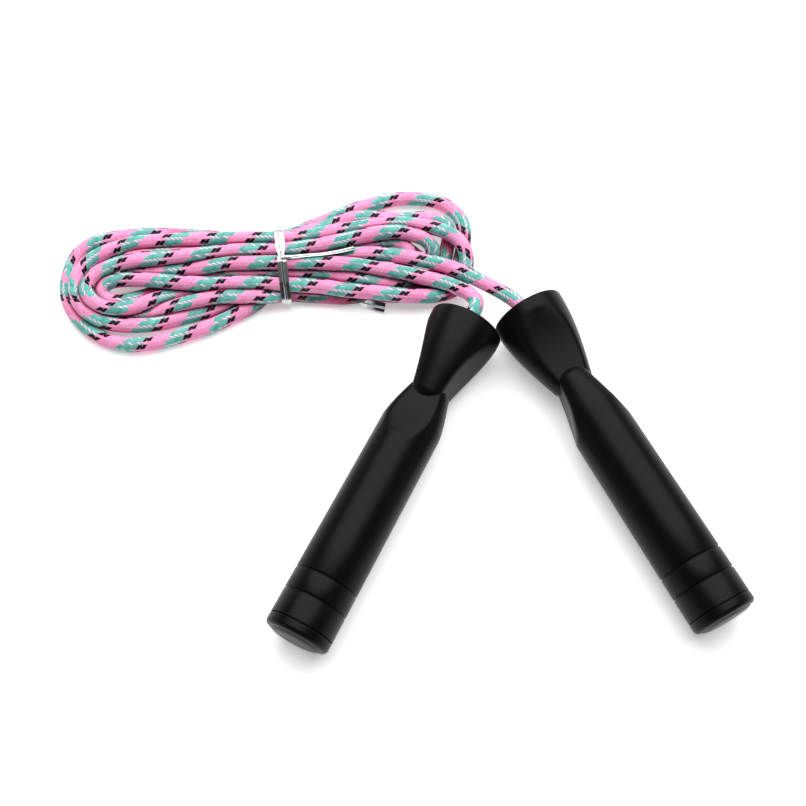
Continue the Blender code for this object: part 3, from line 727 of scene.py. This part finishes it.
def black_stitches(nodes, at, off_centre):
    """Two slanting strokes and the one that joins them, at the end of each band."""
    woven = nodes.math("SUBTRACT", 1.0, at.plain)
    late = nodes.math("GREATER_THAN", at.number, STITCHES_PER_BAND - BLACK_LENGTH)
    stroke = nodes.math("LESS_THAN", off_centre, BLACK_HALF_WIDTH)
    join = nodes.math("SUBTRACT", at.stitches, STITCHES_PER_BAND - 1.0)
    join_lean = nodes.math("MULTIPLY", nodes.math("MULTIPLY", at.across, JOIN_LEAN), at.side)
    from_join = nodes.math("ABSOLUTE", nodes.math("SUBTRACT", join, join_lean))
    join = nodes.math("MULTIPLY", nodes.math("LESS_THAN", from_join, JOIN_HALF_WIDTH), woven)
    return nodes.math("MULTIPLY", nodes.math("MULTIPLY", late, woven), nodes.math("MAXIMUM", stroke, join))


def stitch_colour(nodes, at):
    """Pink sheath with a teal stretch in each band, grey in its plain columns, then black."""
    where = nodes.add("ShaderNodeCombineXYZ", {
        0: at.column, 1: nodes.math("FLOOR", at.winding), 2: at.number,
    })
    shade = nodes.add("ShaderNodeTexWhiteNoise", {"Vector": where.outputs[0]}).outputs["Value"]
    off_centre = nodes.math("ABSOLUTE", nodes.math("SUBTRACT", at.within, 0.5))
    pink = nodes.mix(shade, (0.94, 0.31, 0.56, 1.0), (0.96, 0.40, 0.66, 1.0))
    teal = nodes.mix(shade, (0.06, 0.41, 0.33, 1.0), (0.14, 0.58, 0.49, 1.0))
    grey = nodes.mix(shade, (0.22, 0.40, 0.40, 1.0), (0.45, 0.50, 0.56, 1.0))
    dot = nodes.math("MULTIPLY", nodes.math("LESS_THAN", off_centre, DOT_HALF_WIDTH), 0.75)
    dot = nodes.math("MULTIPLY", dot, nodes.math("GREATER_THAN", shade, 0.3))
    grey = nodes.mix(dot, grey, (0.86, 0.82, 0.88, 1.0))
    thread = nodes.math("GREATER_THAN", off_centre, THREAD_HALF_WIDTH)
    teal = nodes.mix(thread, teal, (0.40, 0.56, 0.56, 1.0))
    teal_end = nodes.math("MULTIPLY_ADD", at.plain, -0.5, TEAL_STITCHES)
    in_band = nodes.math("LESS_THAN", at.number, teal_end)
    colour = nodes.mix(in_band, pink, nodes.mix(at.plain, teal, grey))
    return nodes.mix(black_stitches(nodes, at, off_centre), colour, (0.003, 0.002, 0.004, 1.0))


def rope_material():
    """Braided sheath: columns of slanting stitches, pink with a winding teal and black band, with painted
    shade in the stitch valleys and where strands touch or lie under others.
    """
    nodes = Nodes("braided_sheath")
    at = stitch_layout(nodes)
    colour = stitch_colour(nodes, at)
    along_stitch = nodes.math("SINE", nodes.math("MULTIPLY", at.within, math.pi))
    over_stitch = nodes.math("COSINE", nodes.math("MULTIPLY", at.across, math.pi))
    height = nodes.math("POWER", nodes.math("MULTIPLY", along_stitch, over_stitch), 0.5)
    fibre = nodes.add("ShaderNodeCombineXYZ", {
        0: nodes.math("MULTIPLY", at.within, 7.0), 1: at.column, 2: at.winding,
    })
    threads = nodes.noise(3.0, 2.0, 0.6, fibre.outputs[0])
    relief = nodes.math("MULTIPLY_ADD", threads, 0.25, height)
    # Painted shade in the valleys between the raised stitches
    painted_valley_shade = nodes.math("POWER", nodes.math("SUBTRACT", 1.0, height), 2.0)
    colour = nodes.mix(nodes.math("MULTIPLY", painted_valley_shade, 0.30), colour, (0.60, 0.05, 0.25, 1.0), "MULTIPLY")
    # Painted shade: dark crimson where strands touch or lie under others
    clear = nodes.add("ShaderNodeAttribute", attribute_name="painted_shade").outputs["Fac"]
    shadow = nodes.mix(clear, (0.34, 0.006, 0.06, 1.0), (1.0, 1.0, 1.0, 1.0))
    colour = nodes.mix(0.92, colour, shadow, "MULTIPLY")
    return nodes.set(
        Base_Color=colour, Normal=nodes.bump(relief, 0.5, 0.35 * MM), Specular_IOR_Level=0.2,
        Roughness=nodes.spread(threads, 0.5, 0.65), Sheen_Weight=0.04, Sheen_Roughness=0.4,
    )


# ---------------------------------------------------------------- handles

def mesh_from(bm, name, mat, sharp=28.0):
    bmesh.ops.recalc_face_normals(bm, faces=bm.faces)
    mesh = bpy.data.meshes.new(name)
    bm.to_mesh(mesh)
    bm.free()
    mesh.polygons.foreach_set("use_smooth", [True] * len(mesh.polygons))
    mesh.set_sharp_from_angle(angle=math.radians(sharp))
    if mat is not None:
        mesh.materials.append(mat)
    return mesh


def turned(name, profile, mat, segments=SHELL_SEGMENTS, sharp=28.0):
    """A closed profile of (radius, height) turned about the axis."""
    bm = bmesh.new()
    verts = [bm.verts.new((radius, 0.0, height)) for radius, height in profile]
    pairs = list(zip(verts, verts[1:]))
    if profile[0][0] > 0.0 or profile[-1][0] > 0.0:
        pairs.append((verts[-1], verts[0]))
    edges = [bm.edges.new(pair) for pair in pairs]
    bmesh.ops.spin(
        bm, geom=verts + edges, cent=(0, 0, 0), axis=(0, 0, 1), dvec=(0, 0, 0),
        angle=2 * math.pi, steps=segments, use_merge=True, use_duplicate=False,
    )
    bmesh.ops.remove_doubles(bm, verts=bm.verts, dist=0.001 * MM)
    return mesh_from(bm, name, mat, sharp)


def lofted(name, sections, mat):
    bm = bmesh.new()
    rings = [[bm.verts.new(point) for point in points] for points in sections]
    count = len(rings[0])
    for lower, upper in zip(rings, rings[1:]):
        for i in range(count):
            bm.faces.new((lower[i - 1], lower[i], upper[i], upper[i - 1]))
    bm.faces.new(rings[0][::-1])
    bm.faces.new(rings[-1])
    return mesh_from(bm, name, mat)


def cut_disc(radius, half_thickness, turn, height):
    """A round section with a flat on two opposite sides, which runs softly into the round."""
    blend = min(EDGE_BLEND, 2.0 * (radius - half_thickness))
    points = []
    for i in range(SHELL_SEGMENTS):
        angle = 2 * math.pi * i / SHELL_SEGMENTS
        flat = half_thickness / max(abs(math.cos(angle)), 0.01)
        share = min(max(0.5 + 0.5 * (flat - radius) / blend, 0.0), 1.0)
        reach = flat + (radius - flat) * share - blend * share * (1.0 - share)
        points.append((reach * math.cos(turn + angle), reach * math.sin(turn + angle), height))
    return points


def ridge_radius(distance, full_radius, length):
    """How far a ridge stands out, at a distance from the waist into its own half."""
    if distance >= length:
        return full_radius
    if distance >= 0.0:
        return WAIST_RADIUS + (full_radius - WAIST_RADIUS) * math.sin(math.pi / 2 * distance / length)
    nose = 0.5 * (1.0 + math.cos(math.pi * max(distance / TONGUE, -1.0)))
    return WAIST_HALF_THICKNESS + (WAIST_RADIUS - WAIST_HALF_THICKNESS) * nose


def facet_distance(distance, full_radius, length):
    """How far a flat lies from the axis, at a distance from the waist into its own half."""
    if distance >= length:
        return full_radius
    if distance <= 0.0:
        return WAIST_HALF_THICKNESS * (1.0 + 0.5 * distance / TONGUE)
    share = distance / length
    return WAIST_HALF_THICKNESS + (full_radius - WAIST_HALF_THICKNESS) * (0.35 * share + 0.65 * share ** 2)


def grip_radius(height):
    share = (height - CAP_JOINT) / (WAIST - GRIP_SHOULDER - CAP_JOINT)
    radius = GRIP_RADIUS + (GRIP_RADIUS_FRONT - GRIP_RADIUS) * min(share, 1.0)
    for groove in GROOVES:
        away = abs(height - groove) / GROOVE_HALF_WIDTH
        if away < 1.0:
            radius -= GROOVE_DEPTH * 0.5 * (1.0 + math.cos(math.pi * away))
    return radius


def tongue_reaches():
    """How far past the waist each ring of a form's tongue lies, closer together at its tip."""
    steps = range(1, TONGUE_STEPS + 1)
    return [TONGUE * math.sin(math.pi / 2 * i / TONGUE_STEPS) * TONGUE_END for i in steps]


def grip_mesh(mat):
    heights = [CAP_JOINT + GAP]
    for groove in GROOVES:
        heights += [groove + GROOVE_HALF_WIDTH * step / 5 for step in range(-5, 6)]
    heights += GRIP_RINGS
    start = WAIST - GRIP_FACET_LENGTH
    heights += [start + GRIP_FACET_LENGTH * i / GRIP_STEPS for i in range(GRIP_STEPS + 1)]
    heights += [WAIST + reach for reach in tongue_reaches()]
    sections = []
    for height in heights:
        distance = WAIST - height
        radius = min(grip_radius(height), ridge_radius(distance, GRIP_RADIUS, GRIP_SHOULDER))
        flat = facet_distance(distance, GRIP_RADIUS, GRIP_FACET_LENGTH)
        sections.append(cut_disc(radius, min(flat, radius * FLAT_MOST), 0.0, height))
    return lofted("grip_form", sections, mat)


def head_mesh(mat):
    head_length = HANDLE_LENGTH - WAIST
    heights = [WAIST - reach for reach in reversed(tongue_reaches())]
    heights += [WAIST + (head_length - MOUTH_ROUND) * i / HEAD_STEPS for i in range(HEAD_STEPS + 1)]
    heights += [HANDLE_LENGTH - MOUTH_ROUND * (1.0 - math.sin(math.pi / 2 * i / 5)) for i in range(1, 6)]
    sections = []
    for height in heights:
        distance = height - WAIST
        radius = ridge_radius(distance, MOUTH_RADIUS, head_length)
        into_round = min(max(0.0, height - (HANDLE_LENGTH - MOUTH_ROUND)) / MOUTH_ROUND, 1.0)
        radius -= MOUTH_ROUND * (1.0 - math.sqrt(1.0 - into_round ** 2))
        flat = facet_distance(distance, MOUTH_RADIUS, HEAD_FACET_LENGTH)
        sections.append(cut_disc(radius, min(flat, radius * FLAT_MOST), math.pi / 2, height))
    return lofted("head_form", sections, mat)


def bore_mesh(mat):
    """Everything that is hollow in the shell, as one stepped plug."""
    top = HANDLE_LENGTH
    over = 2.0 * MM
    return turned("bore_form", [
        (0.0, -over),
        (GRIP_BORE, -over),
        (GRIP_BORE, GRIP_BORE_END),
        (CORE_HOLE, CORE_HOLE_START),
        (CORE_HOLE, top - POCKET_DEPTH - 2.0 * MM),
        (POCKET_RADIUS, top - POCKET_DEPTH),
        (POCKET_RADIUS, top - SHOULDER_DEPTH),
        (SHOULDER_RADIUS, top - SHOULDER_DEPTH),
        (SHOULDER_RADIUS, top - SEAT_DEPTH),
        (SEAT_RADIUS, top - SEAT_DEPTH),
        (SEAT_RADIUS, top - RING_DEPTH),
        (RING_BORE, top - RING_DEPTH),
        (RING_BORE, top - RING_DEPTH + RING_THICKNESS + GAP),
        (MOUTH_BORE, top - 0.5 * MM),
        (MOUTH_BORE + over, top + over),
        (0.0, top + over),
    ], mat)


def carve(obj, guide, operation):
    modifier = obj.modifiers.new(operation.lower(), "BOOLEAN")
    modifier.operation = operation
    modifier.solver = "EXACT"
    modifier.object = guide


def make_shell(side, mat):
    matrix, _, _ = handle_frame(side)
    shell = link(bpy.data.objects.new(f"{side}_grip_and_head", grip_mesh(mat)))
    head = link(bpy.data.objects.new(f"{side}_head_guide", head_mesh(mat)))
    bore = link(bpy.data.objects.new(f"{side}_bore_guide", bore_mesh(mat)))
    for obj in (shell, head, bore):
        obj.matrix_world = matrix
    carve(shell, head, "UNION")
    carve(shell, bore, "DIFFERENCE")
    bpy.context.view_layer.update()
    graph = bpy.context.evaluated_depsgraph_get()
    final = bpy.data.meshes.new_from_object(shell.evaluated_get(graph))
    shell.modifiers.clear()
    shell.data = final
    final.transform(matrix)
    shell.matrix_world = Matrix()
    final.polygons.foreach_set("use_smooth", [True] * len(final.polygons))
    final.set_sharp_from_angle(angle=math.radians(24.0))
    for guide in (head, bore):
        bpy.data.objects.remove(guide)
    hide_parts(f"{side}_handle_shell")
    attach(shell, f"{side}_handle")
    return shell


def make_cap(side, mat):
    matrix, _, _ = handle_frame(side)
    rim_start = GRIP_RADIUS - CAP_ROUND
    outside = []
    for i in range(9):
        share = i / 8
        outside.append((CAP_FLAT_RADIUS + (rim_start - CAP_FLAT_RADIUS) * share, CAP_DOME * share ** 2))
    for i in range(1, 13):
        angle = math.pi / 2 * i / 12
        outside.append((
            rim_start + CAP_ROUND * math.sin(angle),
            CAP_DOME + CAP_ROUND - CAP_ROUND * math.cos(angle),
        ))
    plug = GRIP_BORE - GAP
    mesh = turned("cap_form", [
        (0.0, 0.0),
        *outside,
        (GRIP_RADIUS, CAP_JOINT - 0.5 * MM),
        (GRIP_RADIUS - 0.35 * MM, CAP_JOINT),
        (plug, CAP_JOINT),
        (plug, CAP_JOINT + PLUG_LENGTH - 1.0 * MM),
        (plug - 0.6 * MM, CAP_JOINT + PLUG_LENGTH),
        (plug - PLUG_WALL, CAP_JOINT + PLUG_LENGTH),
        (plug - PLUG_WALL, CAP_CAVITY),
        (0.0, CAP_CAVITY),
    ], mat)
    mesh.transform(matrix)
    cap = link(bpy.data.objects.new(f"{side}_cap", mesh))
    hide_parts(f"{side}_end_cap")
    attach(cap, f"{side}_handle")


def plastic_material():
    nodes = Nodes("black_plastic")
    grain = nodes.noise(2600.0, 2.0)
    wear = nodes.noise(90.0, 5.0, 0.6)
    colour = nodes.mix(wear, (0.0025, 0.0025, 0.0025, 1.0), (0.0045, 0.0045, 0.0045, 1.0))
    normal = nodes.bump(grain, 0.08, 0.04 * MM)
    return nodes.set(
        Base_Color=colour, Normal=normal, Roughness=nodes.spread(wear, 0.28, 0.38),
        Specular_IOR_Level=0.09,
    )


def steel_material():
    nodes = Nodes("bearing_steel")
    scratch = nodes.noise(1400.0, 4.0, 0.7)
    colour = nodes.mix(scratch, (0.52, 0.52, 0.53, 1.0), (0.66, 0.66, 0.67, 1.0))
    normal = nodes.bump(scratch, 0.08, 0.03 * MM)
    return nodes.set(
        Base_Color=colour, Metallic=1.0, Normal=normal, Roughness=nodes.spread(scratch, 0.18, 0.34),
    )


# ---------------------------------------------------------------- tie

def hull(points):
    """The corners of the tightest convex outline round flat points, anticlockwise."""
    points = sorted(map(tuple, points))

    def half(path):
        chain = []
        for p in path:
            while len(chain) > 1:
                (ax, ay), (bx, by) = chain[-2], chain[-1]
                if (bx - ax) * (p[1] - ay) - (by - ay) * (p[0] - ax) > 0:
                    break
                chain.pop()
            chain.append(p)
        return chain[:-1]

    return half(points) + half(points[::-1])


def tie_outline(line):
    """The shape that a ribbon pulled tight round the hank takes, as (across, up) in millimetres."""
    near = line[np.abs(line[:, 0] - TIE_CENTRE) < TIE_WIDTH * 0.6]
    reach = ROPE_DIAMETER / MM / 2 + TIE_CLEARANCE
    angles = np.linspace(0, 2 * np.pi, 24, endpoint=False)
    ring = np.stack([np.cos(angles), np.sin(angles)], axis=1) * reach
    points = (near[:, None, 1:] + ring[None]).reshape(-1, 2)
    points[:, 1] = np.maximum(points[:, 1], TIE_FLOOR)
    corners = np.array(hull(points))
    closed = np.vstack([corners, corners[:1]])
    along = distance_along(closed)
    wanted = np.linspace(0.0, along[-1], TIE_POINTS + 1)[:-1]
    return np.stack([np.interp(wanted, along, closed[:, k]) for k in range(2)], axis=1)


def ribbon(name, centres, widths, outwards, mat, closed=False):
    """A flat ribbon with the ridge of its wire down the middle."""
    verts = []
    for centre, width_way, out_way in zip(centres, widths, outwards):
        for across, rise in RIBBON_PROFILE:
            verts.append(tuple(
                (centre + width_way * across * TIE_WIDTH / 2 + out_way * rise * TIE_THICKNESS) * MM
            ))
    size = len(RIBBON_PROFILE)
    faces = []
    count = len(centres)
    for i in range(count if closed else count - 1):
        n = (i + 1) % count
        for k in range(size):
            m = (k + 1) % size
            faces.append((i * size + k, n * size + k, n * size + m, i * size + m))
    if not closed:
        faces.append(tuple(range(size)))
        faces.append(tuple(range((count - 1) * size, count * size))[::-1])
    obj = mesh_object(name, verts, faces, mat)
    bm = bmesh.new()
    bm.from_mesh(obj.data)
    bmesh.ops.recalc_face_normals(bm, faces=bm.faces)
    bm.to_mesh(obj.data)
    bm.free()
    obj.data.set_sharp_from_angle(angle=math.radians(40.0))
    return obj


def make_tie(line, mat):
    outline = tie_outline(line)
    middle = outline[:, 0].mean()
    centres = [np.array((TIE_CENTRE + TIE_SLOPE * (y - middle), y, z)) for y, z in outline]
    count = len(centres)
    widths = []
    outwards = []
    for i in range(count):
        along = centres[(i + 1) % count] - centres[i - 1]
        along /= np.linalg.norm(along)
        out = np.cross(along, (1.0, 0.0, 0.0))
        out /= np.linalg.norm(out)
        outwards.append(out)
        _, y, z = centres[i]
        pinch = TIE_PINCH_DEPTH * math.exp(-((y - TIE_PINCH) / TIE_PINCH_SPREAD) ** 2)
        widths.append(np.cross(out, along) * (1.0 - pinch * (z > TIE_PINCH_ABOVE)))
    return ribbon("tie_loop", centres, widths, outwards, mat, closed=True)


def make_tail(name, points, mat):
    """A loose end of the tie, through points of (x, y, z, lean in degrees)."""
    table = np.array(points, float)
    line = even_line(smooth_line(table[:, :3], 8), 0.6)
    shares = np.linspace(0.0, 1.0, len(line))
    leans = np.interp(shares, np.linspace(0.0, 1.0, len(table)), table[:, 3])
    tangents = np.gradient(line, axis=0)
    centres, widths, outwards = [], [], []
    for centre, tangent, lean in zip(line, tangents, leans):
        tangent = tangent / np.linalg.norm(tangent)
        level = np.cross((0.0, 0.0, 1.0), tangent)
        level /= np.linalg.norm(level)
        up = np.cross(tangent, level)
        angle = math.radians(lean)
        centres.append(centre)
        widths.append(level * math.cos(angle) + up * math.sin(angle))
        outwards.append(up * math.cos(angle) - level * math.sin(angle))
    return ribbon(name, centres, widths, outwards, mat)


def foil_material():
    nodes = Nodes("silver_foil")
    crinkle = nodes.noise(900.0, 4.0, 0.65)
    broad = nodes.noise(180.0, 2.0, 0.5)
    colour = nodes.mix(crinkle, (0.45, 0.47, 0.48, 1.0), (0.60, 0.62, 0.63, 1.0))
    normal = nodes.bump(broad, 0.12, 0.1 * MM)
    normal = nodes.bump(crinkle, 0.05, 0.02 * MM, normal)
    return nodes.set(
        Base_Color=colour, Metallic=0.95, Normal=normal, Roughness=nodes.spread(broad, 0.06, 0.14),
    )


# ---------------------------------------------------------------- scene

def main():
    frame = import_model()
    make_camera()
    make_floor()
    make_lights()

    line = rope_line()
    rope = make_rope(line, rope_material())
    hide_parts("rope_hank", "left_rope_lead", "right_rope_lead")
    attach(rope, "rope")

    foil = foil_material()
    tie = make_tie(line, foil)
    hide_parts("twist_tie")
    tails = [make_tail(name, points, foil) for name, points in TIE_ENDS.items()]
    for piece in (tie, *tails):
        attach(piece, "rope")

    plastic = plastic_material()
    steel = steel_material()
    for side in HANDLES:
        make_shell(side, plastic)
        make_cap(side, plastic)
    for name, node in frame["nodes"].items():
        mat = plastic if "ring" in name and "bearing" not in name else steel
        node.data.materials.clear()
        node.data.materials.append(mat)


main()
